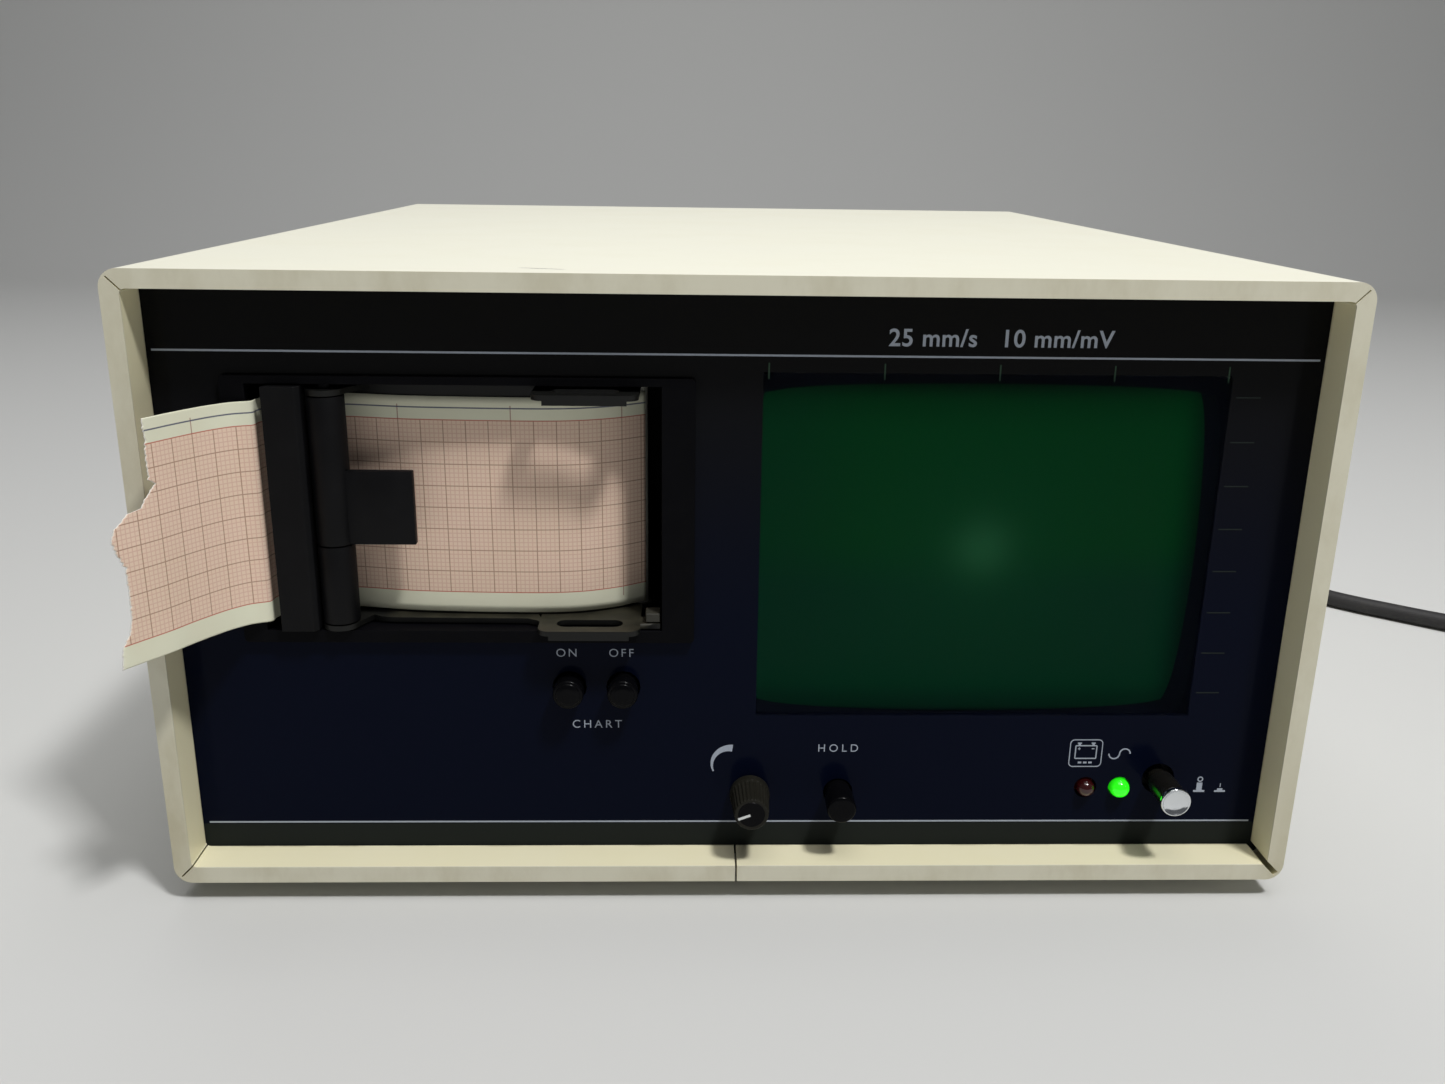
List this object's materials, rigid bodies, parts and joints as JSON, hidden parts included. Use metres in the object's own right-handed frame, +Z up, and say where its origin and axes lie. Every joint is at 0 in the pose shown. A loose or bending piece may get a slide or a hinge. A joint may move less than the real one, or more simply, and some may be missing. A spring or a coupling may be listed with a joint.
{
  "type": "stress test monitor",
  "caption": "Bench heart monitor: sheet-metal case, green screen tube, strip-chart recorder with a hinged paper door, push buttons, a knob and a mains cord.",
  "frame": {"origin": "middle of the footprint of all but the cord, on the surface that the feet stand on", "axes": "+X to the right seen from the front, +Y from the front into the case, +Z up"},
  "size_m": [0.4887, 0.4235, 0.145],
  "materials": {
    "cream_paint": "satin",
    "black_acrylic": "gloss",
    "black_moulding": "matte",
    "olive_plate": "satin",
    "bare_steel": "satin",
    "bare_alloy": "satin",
    "bright_chrome": "mirror",
    "black_rubber": "matte",
    "chart_paper": "matte",
    "roll_paper": "matte",
    "pale_nylon": "matte",
    "screen_glass": "gloss",
    "board_green": "satin",
    "winding_yellow": "matte",
    "battery_blue": "satin",
    "red_lens": "gloss",
    "green_lens": "lit"
  },
  "bodies": {
    "root": {"case_sleeve": "cream_paint", "front_fascia": "black_acrylic", "front_panel": "bare_alloy", "chassis_tray": "bare_alloy", "main_board": "board_green", "sweep_board": "board_green", "rear_panel": "black_moulding", "front_left_foot": "black_rubber", "front_right_foot": "black_rubber", "rear_left_foot": "black_rubber", "rear_right_foot": "black_rubber", "recorder_frame": "black_moulding", "recorder_housing": "black_moulding", "tear_bar": "black_moulding", "hinge_pin": "bare_steel", "hinge_post": "black_moulding", "paper_motor": "bare_steel", "print_head": "bare_steel", "roll_spindle": "black_moulding", "chart_paper_strip": "chart_paper", "screen_tube": "screen_glass", "tube_frame": "black_moulding", "deflection_yoke": "winding_yellow", "tube_base_board": "board_green", "mains_transformer": "bare_steel", "battery_pack": "battery_blue", "battery_strap": "bare_alloy", "run_switch": "black_moulding", "stop_switch": "black_moulding", "hold_switch": "black_moulding", "power_switch": "black_moulding", "size_control": "bare_alloy", "battery_lamp": "red_lens", "mains_lamp": "green_lens", "fuse_holder": "black_moulding", "patient_socket": "bare_steel", "strain_relief": "black_rubber", "mains_cord": "black_rubber", "mains_cord_coil": "black_rubber", "cord_tie": "black_rubber", "mains_plug": "black_rubber"},
    "door": {"paper_door": "olive_plate", "chart_paper_window": "chart_paper", "door_catch": "pale_nylon"},
    "clip": {"paper_clip": "black_moulding"},
    "guide": {"guide_roller": "pale_nylon"},
    "roll": {"paper_roll": "roll_paper"},
    "platen": {"platen_roller": "black_rubber", "platen_gear": "pale_nylon"},
    "motor": {"motor_pinion": "bare_steel"},
    "run": {"run_button": "black_moulding"},
    "stop": {"stop_button": "black_moulding"},
    "hold": {"hold_button": "black_moulding"},
    "power": {"power_button": "black_moulding", "power_button_cap": "bright_chrome"},
    "knob": {"size_knob": "black_moulding"}
  },
  "joints": [
    {"name": "paper_door_hinge", "type": "hinge", "parent": "root", "child": "door", "pos_m": [-0.08975, -0.13065, 0.0922], "axis": [0, 0, -1], "range_deg": [0, 75]},
    {"name": "paper_clip_hinge", "type": "hinge", "parent": "door", "child": "clip", "pos_m": [-0.08975, -0.13065, 0.1013], "axis": [0, 0, -1], "range_deg": [0, 45]},
    {"name": "guide_roller_spin", "type": "hinge", "parent": "door", "child": "guide", "pos_m": [-0.02275, -0.11661, 0.0922], "axis": [0, 0, 1], "continuous": true},
    {"name": "paper_roll_spin", "type": "hinge", "parent": "root", "child": "roll", "pos_m": [-0.052, -0.09325, 0.0918], "axis": [0, 0, 1], "continuous": true},
    {"name": "platen_spin", "type": "hinge", "parent": "root", "child": "platen", "pos_m": [-0.0984, -0.11897, 0.0922], "axis": [0, 0, 1], "continuous": true},
    {"name": "motor_spin", "type": "hinge", "parent": "root", "child": "motor", "pos_m": [-0.09491, -0.10593, 0.1227], "axis": [0, 0, 1], "continuous": true},
    {"name": "run_button_press", "type": "slide", "parent": "root", "child": "run", "axis": [0, 1, 0], "range_m": [0, 0.002], "stiffness_N_per_m": 300},
    {"name": "stop_button_press", "type": "slide", "parent": "root", "child": "stop", "axis": [0, 1, 0], "range_m": [0, 0.002], "stiffness_N_per_m": 300},
    {"name": "hold_button_press", "type": "slide", "parent": "root", "child": "hold", "axis": [0, 1, 0], "range_m": [0, 0.002], "stiffness_N_per_m": 300},
    {"name": "power_button_press", "type": "slide", "parent": "root", "child": "power", "axis": [0, 1, 0], "range_m": [0, 0.005]},
    {"name": "size_knob_turn", "type": "hinge", "parent": "root", "child": "knob", "pos_m": [0.0033, -0.13, 0.023], "axis": [0, 1, 0], "range_deg": [-38, 261]}
  ],
  "couplings": [
    {"joint": "guide_roller_spin", "follows": "paper_roll_spin", "ratio": 10.556},
    {"joint": "platen_spin", "follows": "paper_roll_spin", "ratio": 3.6538},
    {"joint": "motor_spin", "follows": "paper_roll_spin", "ratio": -5.3147}
  ]
}
